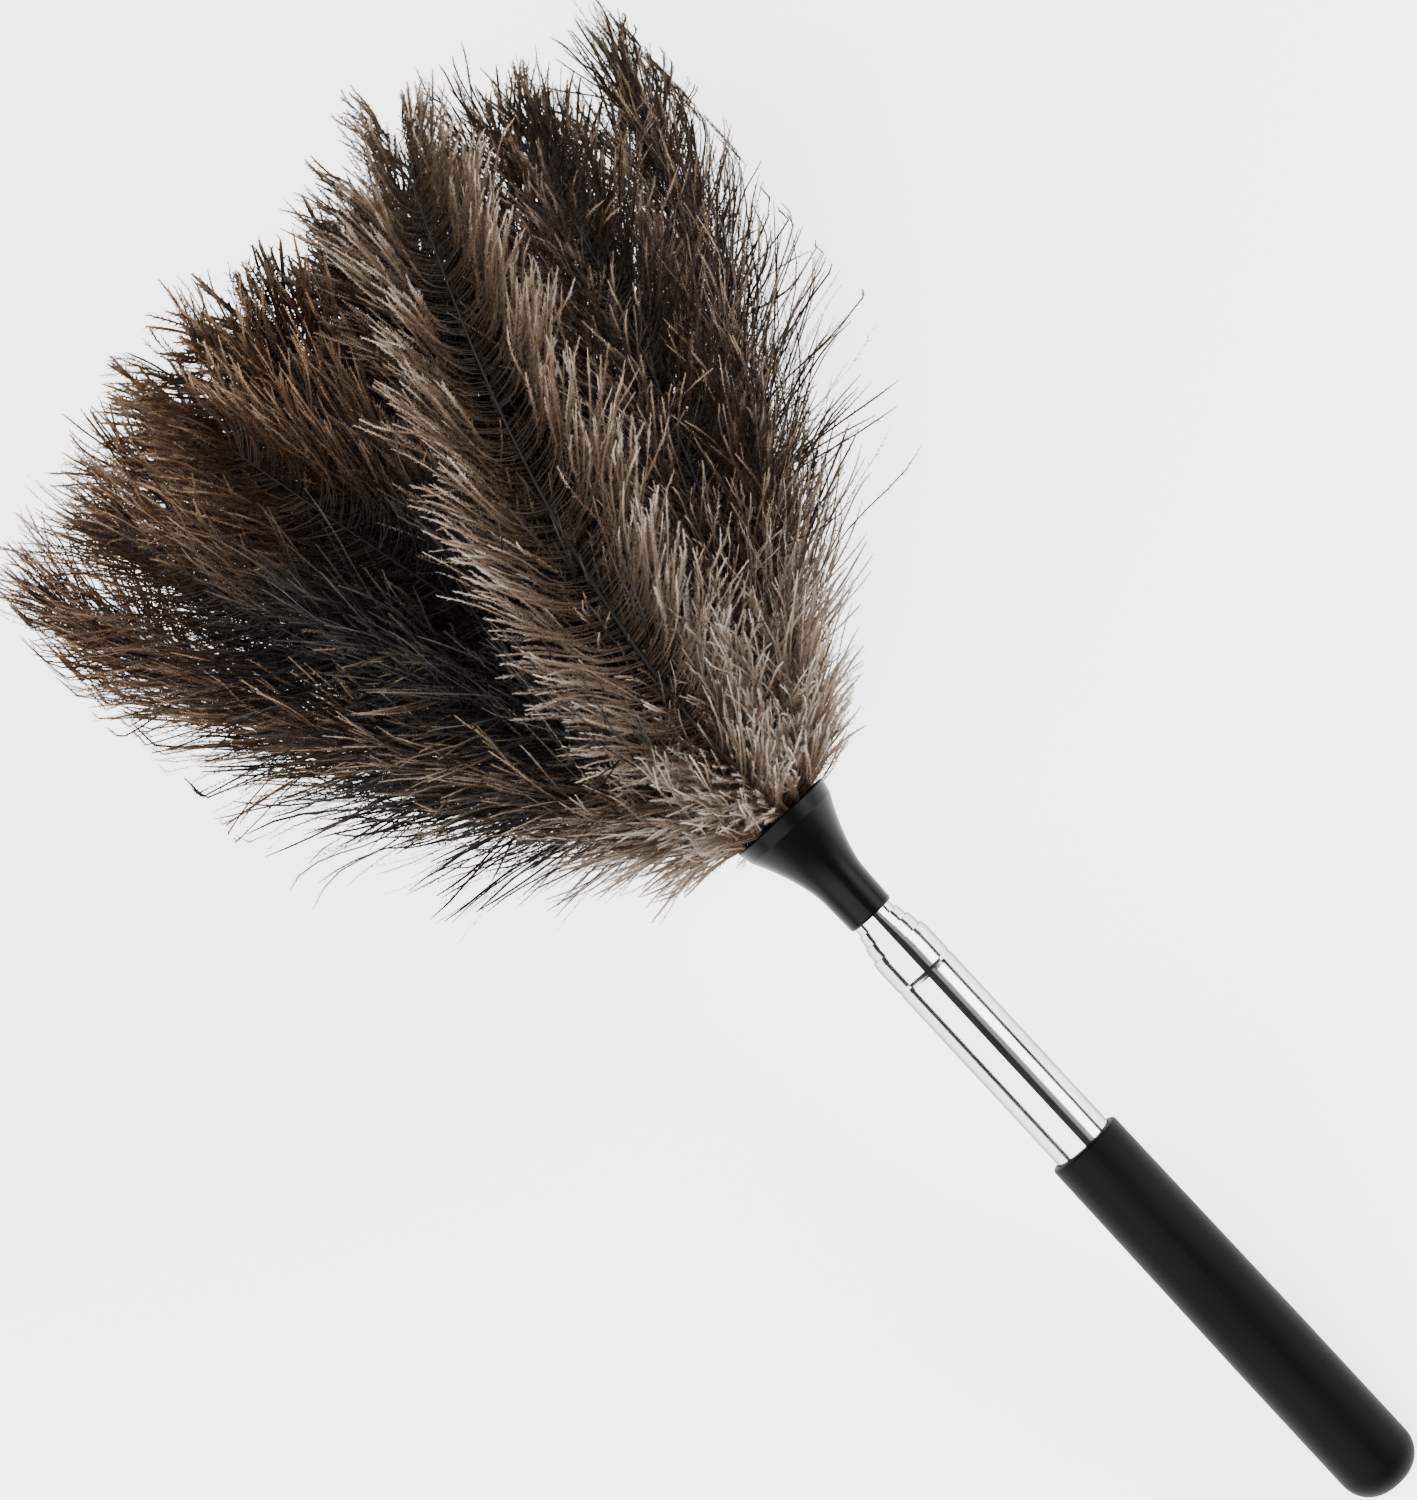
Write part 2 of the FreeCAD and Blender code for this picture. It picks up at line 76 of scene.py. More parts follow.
# ---- grip ----------------------------------------------------------------------------
# A soft black rubber sleeve, moulded over the largest tube and closed at the butt. Its
# skin is matt with a very fine pebble, and slightly shinier where hands rub it.
class Field:
    """A shader value that takes part in sums: the operators add the Math nodes."""

    def __init__(self, nodes, socket):
        self.nodes = nodes
        self.socket = socket

    def math(self, operation, *others):
        """A Math node on this value and the others, which are fields or numbers."""
        given = [other.socket if isinstance(other, Field) else other for other in others]
        values = dict(enumerate([self.socket, *given]))
        return self.nodes.add("ShaderNodeMath", {"operation": operation}, values)

    def __add__(self, other):
        return self.math("ADD", other)

    def __sub__(self, other):
        return self.math("SUBTRACT", other)

    def __rsub__(self, other):
        return self.math("MULTIPLY", -1.0) + other

    def __mul__(self, other):
        return self.math("MULTIPLY", other)

    def __truediv__(self, other):
        return self.math("DIVIDE", other)

    __radd__ = __add__
    __rmul__ = __mul__

    def clamp(self):
        """The value held between 0 and 1."""
        return self.math("MINIMUM", 1.0).math("MAXIMUM", 0.0)

    def step(self, start, end):
        """0 before start, 1 after end and a smooth rise between them."""
        share = ((self - start) / (end - start)).clamp()
        return share * share * (3.0 - 2.0 * share)


class Finish:
    """A material on one Principled shader, with its nodes made by one method."""

    def __init__(self, name, colour, **sockets):
        self.material = bpy.data.materials.new(name)
        self.material.use_nodes = True
        self.tree = self.material.node_tree
        self.shader = next(n for n in self.tree.nodes if n.type == "BSDF_PRINCIPLED")
        self.shader.inputs["Base Color"].default_value = (*colour, 1.0)
        for socket, value in sockets.items():
            self.shader.inputs[socket.replace("_", " ")].default_value = value

    def add(self, kind, settings=None, values=None, output=0):
        """A node of this kind. Settings come first, then its sockets' values or links."""
        node = self.tree.nodes.new(kind)
        for key, value in (settings or {}).items():
            if key == "stops":
                self.set_stops(node.color_ramp, value)
            else:
                setattr(node, key, value)
        for key, value in (values or {}).items():
            value = value.socket if isinstance(value, Field) else value
            if isinstance(value, bpy.types.NodeSocket):
                self.tree.links.new(value, node.inputs[key])
            else:
                node.inputs[key].default_value = value
        return Field(self, node.outputs[output])

    def set_stops(self, ramp, stops):
        """Colour stops of a ramp, as (place, (red, green, blue))."""
        while len(ramp.elements) < len(stops):
            ramp.elements.new(0.5)
        for element, (place, colour) in zip(ramp.elements, stops):
            element.position = place
            element.color = (*colour, 1.0)

    def feed(self, socket, value):
        """Links a value that changes over the surface to a socket of the shader."""
        self.tree.links.new(value.socket, self.shader.inputs[socket])

    def along_piece(self, stretch=(1.0, 1.0, 1.0)):
        """Object coordinates, stretched and then turned to the slope of the pole."""
        place = self.add("ShaderNodeTexCoord", output=3)
        turned = {"Vector": place, "Rotation": (0.0, pole_tilt, 0.0), "Scale": stretch}
        return self.add("ShaderNodeMapping", {"vector_type": "POINT"}, turned)

    def noise(self, place, scale, detail=2.0):
        """A cloudy pattern between 0 and 1: its scale, and how many finer layers it has."""
        values = {"Vector": place, "Scale": scale, "Detail": detail}
        return self.add("ShaderNodeTexNoise", None, values)

    def blend(self, share, first, second):
        """A colour between two, by share."""
        values = {0: share, 6: first, 7: second}
        settings = {"data_type": "RGBA", "blend_type": "MIX"}
        return self.add("ShaderNodeMix", settings, values, output=2)

    def bump(self, height, distance, strength):
        """Dents in the skin, as deep as this distance in metres times strength."""
        values = {"Height": height, "Distance": distance, "Strength": strength}
        self.feed("Normal", self.add("ShaderNodeBump", None, values))

    def wear(self, *nodes):
        """Puts this finish on CAD nodes in place of their own."""
        for node in nodes:
            mesh = frame["nodes"][node].data
            mesh.materials.clear()
            mesh.materials.append(self.material)


grip_finish = Finish("grip rubber", (0.0025, 0.003, 0.0025), Specular_IOR_Level=0.055)
pebble = grip_finish.noise(grip_finish.along_piece(), 1400.0)
rubbed = grip_finish.noise(grip_finish.along_piece((0.5, 1.0, 1.0)), 26.0, 3.0)
grip_finish.feed("Base Color", grip_finish.blend(
    rubbed.step(0.35, 0.7), (0.0016, 0.0021, 0.0016, 1.0), (0.003, 0.0036, 0.0029, 1.0)))
grip_finish.feed("Roughness", 0.6 - rubbed * 0.16 + pebble * 0.05)
grip_finish.bump(pebble, 0.00012, 0.5)
grip_finish.wear("grip_sleeve")


# ---- plug and pad ----------------------------------------------------------------------
# The pole's closed end, hidden in the grip: a moulded plug and a rubber disc, on which the
# sliding tubes land. Both are plain and dark.
plug_finish = Finish("plug plastic", (0.03, 0.03, 0.032))
plug_grain = plug_finish.noise(plug_finish.along_piece(), 900.0)
plug_finish.feed("Roughness", 0.45 + plug_grain * 0.15)
plug_finish.bump(plug_grain, 0.00005, 0.3)
plug_finish.wear("butt_plug")

pad_finish = Finish("pad rubber", (0.05, 0.05, 0.05))
pad_grain = pad_finish.noise(pad_finish.along_piece(), 1500.0, 3.0)
pad_finish.feed("Roughness", 0.75 + pad_grain * 0.15)
pad_finish.bump(pad_grain, 0.0001, 0.5)
pad_finish.wear("bump_pad")


# ---- telescopic tubes ------------------------------------------------------------------
# Four thin tubes of polished stainless steel, the outer three necked and rolled at the
# mouth. Polish leaves hair-fine lines round a tube, and handling faint lengthwise rubs.
steel_finish = Finish("polished steel", (0.62, 0.625, 0.63), Metallic=1.0,
                      Specular_Tint=(0.2, 0.2, 0.21, 1.0))
polish = steel_finish.noise(steel_finish.along_piece((1.0, 0.02, 0.02)), 5200.0)
rubs = steel_finish.noise(steel_finish.along_piece((0.04, 1.0, 1.0)), 900.0, 3.0)
smear = steel_finish.noise(steel_finish.along_piece(), 34.0, 3.0)
steel_finish.feed("Base Color", steel_finish.blend(
    smear.step(0.3, 0.75), (0.62, 0.625, 0.635, 1.0), (0.72, 0.724, 0.73, 1.0)))
steel_finish.feed(
    "Roughness", 0.06 + polish * 0.05 + rubs * 0.05 + smear.step(0.4, 0.8) * 0.03)
steel_finish.bump(polish * 0.6 + rubs * 0.4, 0.00001, 0.35)
steel_finish.wear(*[f"pole_tube_{number}" for number in range(1, 5)])


# ---- neck liners and glide bushes ------------------------------------------------------
# Rings of natural acetal between the tubes. They are waxy and off-white, greyed where the
# steel rubs on them.
glide_finish = Finish("natural acetal", (0.78, 0.76, 0.7), Subsurface_Weight=0.1)
glide_rub = glide_finish.noise(glide_finish.along_piece((0.1, 1.0, 1.0)), 420.0, 3.0)
glide_finish.feed("Base Color", glide_finish.blend(
    glide_rub.step(0.5, 0.8), (0.80, 0.78, 0.72, 1.0), (0.52, 0.52, 0.50, 1.0)))
glide_finish.feed("Roughness", 0.3 + glide_rub * 0.25)
glide_finish.wear(*[f"neck_liner_{number}" for number in range(1, 4)])
glide_finish.wear(*[f"glide_bush_{number}" for number in range(2, 5)])


# ---- adapter, screw, washer and core -----------------------------------------------------
# What holds the head on the last tube: a black moulded adapter, a zinc plated screw and
# washer, and a turned beech peg whose grain runs along it.
adapter_finish = Finish("adapter plastic", (0.022, 0.022, 0.023))
adapter_grain = adapter_finish.noise(adapter_finish.along_piece(), 1100.0)
adapter_finish.feed("Roughness", 0.42 + adapter_grain * 0.16)
adapter_finish.bump(adapter_grain, 0.00005, 0.3)
adapter_finish.wear("head_adapter")

zinc_finish = Finish("zinc plate", (0.66, 0.67, 0.68), Metallic=1.0)
zinc_bloom = zinc_finish.noise(zinc_finish.along_piece(), 520.0, 4.0)
zinc_finish.feed("Base Color", zinc_finish.blend(
    zinc_bloom.step(0.4, 0.7), (0.58, 0.59, 0.6, 1.0), (0.74, 0.74, 0.71, 1.0)))
zinc_finish.feed("Roughness", 0.28 + zinc_bloom * 0.2)
zinc_finish.wear("core_screw", "core_washer")

beech_finish = Finish("turned beech", (0.6, 0.42, 0.25))
beech_grain = beech_finish.noise(beech_finish.along_piece((0.05, 1.0, 1.0)), 1500.0, 4.0)
beech_finish.feed("Base Color", beech_finish.blend(
    beech_grain.step(0.35, 0.7), (0.66, 0.47, 0.28, 1.0), (0.42, 0.27, 0.14, 1.0)))
beech_finish.feed("Roughness", 0.55 + beech_grain * 0.2)
beech_finish.bump(beech_grain, 0.0001, 0.4)
beech_finish.wear("core_dowel")


# ---- thread bindings -------------------------------------------------------------------
# Waxed linen thread, wound round each ring of quills. Its plies show as fine light and
# dark turns, and the wax leaves a dull shine.
thread_finish = Finish("waxed thread", (0.3, 0.25, 0.17))
thread_ply = thread_finish.noise(thread_finish.along_piece((3.0, 1.0, 1.0)), 1700.0)
thread_finish.feed("Base Color", thread_finish.blend(
    thread_ply.step(0.35, 0.65), (0.20, 0.16, 0.11, 1.0), (0.38, 0.32, 0.23, 1.0)))
thread_finish.feed("Roughness", 0.5 + thread_ply * 0.3)
thread_finish.bump(thread_ply, 0.00015, 0.7)
rings = ("core", "inner", "middle", "outer")
thread_finish.wear(*[f"binding_{ring}" for ring in rings])


# ---- ferrule ---------------------------------------------------------------------------
# The flared cap over the bound quills, moulded in black plastic and pressed on the last
# tube. Its skin is satin, a little shinier in the streaks that the plastic's flow left.
ferrule_finish = Finish("ferrule plastic", (0.0012, 0.0014, 0.0011), Specular_IOR_Level=0.08)
skin = ferrule_finish.noise(ferrule_finish.along_piece(), 2000.0)
flow = ferrule_finish.noise(ferrule_finish.along_piece((0.3, 1.0, 1.0)), 60.0)
ferrule_finish.feed("Base Color", ferrule_finish.blend(
    flow.step(0.3, 0.7), (0.0009, 0.0012, 0.0009, 1.0), (0.0016, 0.002, 0.0016, 1.0)))
ferrule_finish.feed("Roughness", 0.34 + skin * 0.05 - flow * 0.06)
ferrule_finish.bump(skin, 0.00004, 0.3)
ferrule_finish.wear("ferrule")


# ---- feathers --------------------------------------------------------------------------
# Ostrich feathers, sorted by hand and bound in four rings. Each is a horn shaft with loose
# barbs down both sides. A barb starts flat and dark beside the shaft, the dark partly
# painted shade, then turns forward into a fluffy cord of barbules. Barbs cling in tufts,
# and their tips are the palest, partly their own tone and partly a painted highlight.
SHAFT_SIDES = 8
SHAFT_RINGS = 28
SHAFT_RADIUS = (0.00105, 0.00024)     # at the quill and at the tip
LIFT_SHARE = 0.5                      # of the shaft, over which its lift is taken up
BARB_POINTS = 10
BARB_WIDTH = 0.00048                  # of the downy cord, without its fringe
TUFT = 3                              # barbs that cling together
TIP_SHARE = 0.14                      # of the shaft, where the barbs close towards its tip
TIP_CLOSE = 0.25                      # share of their turn that they lose there
FOOT_SHARE = 0.16                     # of the shaft, where they stand up round the mouth
FOOT_CLOSE = 0.15
FOOT_RISE = (22, 10)                  # degrees more, at a barb's start and end
END_SPREAD = (16, 0.75)               # degrees more turn, fading over this share of the shaft
FLARE_LENGTH = (0.45, 0.4)            # share of length a flare adds, fading the same way
TURN_START = 0.08                     # share of a barb before it starts to turn forward
TURN_RATE = 2.2
WAVE_BEATS = (7, 6)                   # radians of a barb's two waves from root to tip
CLING = (0.08, 0.2, 0.4)              # draw to a tuft's mean line, more at the mouth, fading
# A barb's turn from the shaft and its rise off the feather's face, in degrees: the mean,
# the spread from tuft to tuft, and the spread inside a tuft. Then the same for its waves,
# and for its length as a share of the feather's own.
TURN_AT_SHAFT = (68, 4, 3)
TURN_AT_END = (24, 8, 6)
RISE_AT_SHAFT = (7, 12, 7)
RISE_AT_END = (7, 17, 9)
WAVES = (0, 10, 8)
LENGTHS = (0, 0.13, 0.1)
BARE_SHARE = 0.16                     # of a barb, beside the shaft, with short barbules
# Barb length along the shaft, cord width along a barb and barbule length along a barb,
# each as places and the shares of the full size there.
FULLNESS = ((0, 0.05, 0.2, 0.45, 0.85, 1), (0.5, 0.7, 1.1, 1.15, 0.9, 0.5))
CORD_WIDTH = ((0, BARE_SHARE, BARE_SHARE + 0.16, 0.9, 1.0), (0.45, 0.5, 1.0, 0.9, 0.4))
FRINGE = ((0, BARE_SHARE, BARE_SHARE + 0.18, 0.9, 1.0), (0.3, 0.4, 1.0, 1.05, 0.7))
BARBULE_BASE = 0.00036
BARBULE_REACH = 0.00118
BARBULE_LEAN = (44, 9)                # degrees off the barb, mean and spread
SHAFT_STRIP = 0.04                    # share of the colour map that the shaft takes
SLIVER_SPAN = 0.015                   # half the share of a barb's colours on one barbule
FLOOR_GAP = 0.0006
SIDE_LIMIT = 0.1362                   # how far a barb may stand out sideways
TOP_LIMIT = 0.2535                    # and upwards

# How one feather grows: its down, its tufts of barbs, the barbules on a barb, how thick
# its cords are and how long its barbs, how loosely they stand, how far the shaft reaches
# as a share of its blade, and its bow, sway and lift in metres.
Habit = namedtuple("Habit", "down tufts barbules thick length loose reach bow sway lift")


def smooth(share):
    """3 share squared less 2 share cubed: an even rise from 0 to 1."""
    share = np.clip(share, 0, 1)
    return share * share * (3 - 2 * share)


def unit(vectors):
    """The vectors divided by their lengths."""
    return vectors / np.maximum(np.linalg.norm(vectors, axis=-1, keepdims=True), 1e-12)


def shaft_curve(node, habit, count=64):
    """The shaft's line, from the mouth to its tip.

    Its distance from the axis is a cubic in the distance from the mouth, fitted to the
    node's blade. Reach lengthens it. Bow times the way along, and sway times its square,
    move it round the pole. Lift moves all but its near part away from the pole.
    """
    blade = points_of(node)
    ahead = along_pole(blade) - mouth
    away = blade - pole_point - along_pole(blade)[:, None] * pole_axis
    past = ahead > 0.001
    outward = unit(away[past].sum(0))
    fit = np.polyfit(ahead[past], np.linalg.norm(away[past], axis=1), 3)
    share = np.linspace(0, 1, count)
    length = ahead.max()
    radius = np.polyval(fit, share * length) + habit.lift * smooth(share / LIFT_SHARE)
    turn = (habit.bow * share + habit.sway * share**2) / np.maximum(radius, 0.03)
    sideways = np.cross(pole_axis, outward)
    direction = np.cos(turn)[:, None] * outward + np.sin(turn)[:, None] * sideways
    forward = mouth + share * length * (1 + (habit.reach - 1) * share)
    return pole_point + forward[:, None] * pole_axis + radius[:, None] * direction


def frames_along(line):
    """Tangent, outward and sideways unit vectors of a line, outward being off the pole."""
    tangent = unit(np.gradient(line, axis=0))
    off = line - pole_point - along_pole(line)[:, None] * pole_axis
    outward = unit(off - (off * tangent).sum(1, keepdims=True) * tangent)
    return tangent, outward, np.cross(tangent, outward)


def sampled(values, share):
    """Rows of values at these shares of the way along them."""
    place = share * (len(values) - 1)
    low = np.clip(place.astype(int), 0, len(values) - 2)
    part = (place - low)[:, None]
    return values[low] * (1 - part) + values[low + 1] * part


def barb_curves(rng, line, habit, flare):
    """Centre lines of all barbs, as an array of barb, point and place.

    A barb's heading turns from its starting angle off the shaft to a smaller one, as a
    smooth function of the distance along it, and waves a little. Its points are the sum
    of the steps along that heading. Each tuft's barbs then draw in to their mean line.
    """
    tangent, outward, sideways = frames_along(line)
    tufts, loose = habit.tufts, habit.loose
    side = np.tile([-1.0, 1.0], (tufts + 1) // 2)[:tufts]
    share = np.linspace(0.0, 1.0, tufts) ** 1.08
    share = np.clip(share + rng.normal(0, 0.003, tufts), 0.0, 1.0)

    def each(mean, spread, own):
        """One value a tuft, and a small part of its own for each of the tuft's barbs."""
        shared = (mean + spread * rng.normal(size=tufts))[:, None]
        return shared + own * rng.normal(size=(tufts, TUFT))

    near = np.clip(share[:, None] + np.linspace(-0.5, 0.5, TUFT) * 1.6 / tufts, 0.0, 1.0)
    tip = smooth((near - (1 - TIP_SHARE)) / TIP_SHARE)
    foot = smooth(1 - near / FOOT_SHARE)
    first = np.radians(each(*TURN_AT_SHAFT)) * (1 - TIP_CLOSE * tip) * (1 - FOOT_CLOSE * foot)
    spread, fade = END_SPREAD
    last = np.radians(each(*TURN_AT_END) + spread * flare * smooth(1 - near / fade))
    rise = np.radians(each(*RISE_AT_SHAFT) * loose + FOOT_RISE[0] * flare * foot)
    settle = np.radians(each(*RISE_AT_END) * loose + FOOT_RISE[1] * flare * foot)
    more, fade = FLARE_LENGTH
    fullness = np.interp(near, *FULLNESS)
    fullness = fullness * (1 + more * (flare - 1) * smooth(1 - near / fade))
    size = habit.length * fullness * np.clip(1 + each(*LENGTHS), 0.5, 1.45)
    wave = [np.radians(each(*WAVES)) for _ in range(2)]
    phase = [rng.uniform(0, 6.3, (tufts, 1)) for _ in range(2)]

    at = np.linspace(0, 1, BARB_POINTS)
    grow = smooth((at - TURN_START) * TURN_RATE)[None, None]
    heading = first[..., None] + (last - first)[..., None] * grow
    heading = heading + wave[0][..., None] * np.sin(WAVE_BEATS[0] * at + phase[0][..., None]) * at
    pitch = rise[..., None] + (settle - rise)[..., None] * grow
    pitch = pitch + wave[1][..., None] * np.sin(WAVE_BEATS[1] * at + phase[1][..., None]) * at
    heading = heading * side[:, None, None]

    flat_share = near.ravel()
    ways = (tangent, sideways, outward)
    basis = [sampled(way, flat_share).reshape(tufts, TUFT, 1, 3) for way in ways]
    start = sampled(line, flat_share).reshape(tufts, TUFT, 1, 3)
    cosine = np.cos(pitch)
    steps = (
        (np.cos(heading) * cosine)[..., None] * basis[0]
        + (np.sin(heading) * cosine)[..., None] * basis[1]
        + np.sin(pitch)[..., None] * basis[2]
    )
    steps = steps * (size / (BARB_POINTS - 1))[..., None, None]
    steps[:, :, 0] = 0
    curves = start + np.cumsum(steps, axis=2)
    least, more, fade = CLING
    cling = (least + more * smooth(1 - near / fade))[..., None, None] * (at**1.3)[:, None]
    curves = curves + cling * (curves.mean(axis=1, keepdims=True) - curves)
    return curves.reshape(-1, BARB_POINTS, 3), flat_share, np.repeat(side, TUFT)


def across(rng, curves):
    """Tangents of the barbs, and two unit vectors across each that are turned at random."""
    tangent = unit(np.gradient(curves, axis=1))
    helper = unit(rng.normal(size=(len(curves), 1, 3)))
    first = unit(helper - (helper * tangent).sum(-1, keepdims=True) * tangent)
    return tangent, first, np.cross(tangent, first)


def barb_ribbons(curves, across_barb, thick):
    """Each barb as a flat ribbon: its line, pushed to both sides.

    It is narrow beside the shaft, as wide as the downy cord beyond, and blunt at the tip.
    """
    at = np.linspace(0, 1, BARB_POINTS)
    shape = np.interp(at, *CORD_WIDTH)
    half = BARB_WIDTH / 2 * thick * shape[None, :, None] * across_barb
    return np.stack([curves - half, curves + half], axis=2)


def barbule_triangles(rng, curves, tangent, first, second, habit):
    """Slivers all round each barb: a base on the barb and a point forward and outward."""
    count, barbules, thick = len(curves), habit.barbules, habit.thick
    at = (np.arange(barbules) + rng.uniform(0.1, 0.9, (count, barbules))) / barbules
    at = 0.03 + 0.97 * at**0.75
    place = at * (BARB_POINTS - 1)
    low = np.clip(place.astype(int), 0, BARB_POINTS - 2)
    part = (place - low)[..., None]
    row = np.arange(count)[:, None]

    def pick(values):
        return values[row, low] * (1 - part) + values[row, low + 1] * part

    turn = np.arange(barbules) * math.pi + rng.uniform(0, 6.3, (count, 1))
    turn = (turn + rng.normal(0, 0.8, (count, barbules)))[..., None]
    lean = rng.normal(*BARBULE_LEAN, (count, barbules)) * (1 - 0.45 * at**8)
    lean = np.radians(lean)[..., None]
    out = np.cos(turn) * pick(first) + np.sin(turn) * pick(second)
    ahead = pick(tangent)
    reach = BARBULE_REACH * thick * np.interp(at, *FRINGE)
    reach = (reach * rng.uniform(0.6, 1.2, (count, barbules)))[..., None]
    point = pick(curves)
    tip = point + reach * (np.cos(lean) * ahead + np.sin(lean) * out)
    base = BARBULE_BASE / 2 * thick * ahead
    return np.stack([point - base, point + base, tip], axis=2), at


def shaft_tube(line, node):
    """A round tube along quill and shaft, thinner towards the tip, closed by points."""
    foot = along_pole(points_of(node)).min()
    quill = line[0] + (foot - mouth + 0.0005) * pole_axis
    path = np.vstack([quill[None], sampled(line, np.linspace(0, 0.99, SHAFT_RINGS - 1))])
    tangent, outward, sideways = frames_along(path)
    share = np.linspace(0, 1, SHAFT_RINGS)
    radius = SHAFT_RADIUS[0] + (SHAFT_RADIUS[1] - SHAFT_RADIUS[0]) * share**0.8
    angle = np.linspace(0, 2 * math.pi, SHAFT_SIDES, endpoint=False)[None, :, None]
    circle = np.cos(angle) * outward[:, None] + np.sin(angle) * sideways[:, None]
    around = path[:, None] + radius[:, None, None] * circle
    ends = np.stack([path[0] - 0.0008 * tangent[0], path[-1] + 0.002 * tangent[-1]])
    return np.vstack([around.reshape(-1, 3), ends])


def shaft_faces():
    """Quads between the rings of the shaft, and a fan of triangles at each end."""
    ring = np.arange(SHAFT_RINGS - 1)[:, None] * SHAFT_SIDES
    side = np.arange(SHAFT_SIDES)[None]
    after = (side + 1) % SHAFT_SIDES
    quads = [ring + side, ring + SHAFT_SIDES + side, ring + SHAFT_SIDES + after, ring + after]
    last = (SHAFT_RINGS - 1) * SHAFT_SIDES
    foot, tip = SHAFT_RINGS * SHAFT_SIDES, SHAFT_RINGS * SHAFT_SIDES + 1
    side, after = side[0], after[0]
    fans = np.vstack([
        np.stack([np.full_like(side, foot), side, after], -1),
        np.stack([np.full_like(side, tip), last + after, last + side], -1),
    ])
    v = np.linspace(0, 1, SHAFT_RINGS)
    u = np.linspace(0.1, 0.9, SHAFT_SIDES + 1) * SHAFT_STRIP
    low, high, left, right = v[:-1, None], v[1:, None], u[None, :-1], u[None, 1:]
    corners = [(left, low), (left, high), (right, high), (right, low)]
    quad_map = np.stack([np.stack(np.broadcast_arrays(a, b), -1) for a, b in corners], 2)
    fan_map = np.zeros((2 * SHAFT_SIDES, 3, 2))
    fan_map[:, 0] = SHAFT_STRIP * 0.5, 0.0
    fan_map[:, 1, 0] = np.concatenate([u[:-1], u[1:]])
    fan_map[:, 2, 0] = np.concatenate([u[1:], u[:-1]])
    fan_map[:, 1:, 1] = 0.002
    fan_map[SHAFT_SIDES:, :, 1] = 1 - fan_map[SHAFT_SIDES:, :, 1]
    quads = np.stack(quads, -1).reshape(-1, 4)
    return quads, fans, quad_map.reshape(-1, 4, 2), fan_map


def mesh_of(name, places, quads, triangles, quad_map, triangle_map, quad_slots, triangle_slots):
    """A mesh of quads and then triangles, with its colour map and material numbers."""
    mesh = bpy.data.meshes.new(name)
    mesh.vertices.add(len(places))
    mesh.vertices.foreach_set("co", places.astype(np.float32).ravel())
    corners = np.concatenate([quads.ravel(), triangles.ravel()]).astype(np.int32)
    sizes = np.repeat([4, 3], [len(quads), len(triangles)])
    starts = np.concatenate([[0], np.cumsum(sizes)[:-1]]).astype(np.int32)
    slots = np.concatenate([quad_slots, triangle_slots]).astype(np.int32)
    smooth_quads = np.repeat([True, False], [len(quads), len(triangles)])
    mesh.loops.add(len(corners))
    mesh.loops.foreach_set("vertex_index", corners)
    mesh.polygons.add(len(sizes))
    mesh.polygons.foreach_set("loop_start", starts)
    mesh.polygons.foreach_set("material_index", slots)
    mesh.polygons.foreach_set("use_smooth", smooth_quads)
    layer = mesh.uv_layers.new(name="OFBake", do_init=False)
    flat = np.concatenate([quad_map.reshape(-1, 2), triangle_map.reshape(-1, 2)])
    layer.uv.foreach_set("vector", flat.astype(np.float32).ravel())
    mesh.update(calc_edges=True)
    mesh.validate()
    return mesh


def barb_map(share, side):
    """Left and right edge of each barb's strip of the colour map.

    Barbs of one side take one half of the map, in order from the mouth to the tip.
    """
    half = (1 - SHAFT_STRIP) / 2
    start = SHAFT_STRIP + np.where(side > 0, half, 0.0)
    middle = start + half * (0.004 + 0.992 * share)
    wide = half / (len(share) / 2) * 0.9
    left, right = middle - wide, middle + wide
    return np.clip(left, start, start + half), np.clip(right, start, start + half)


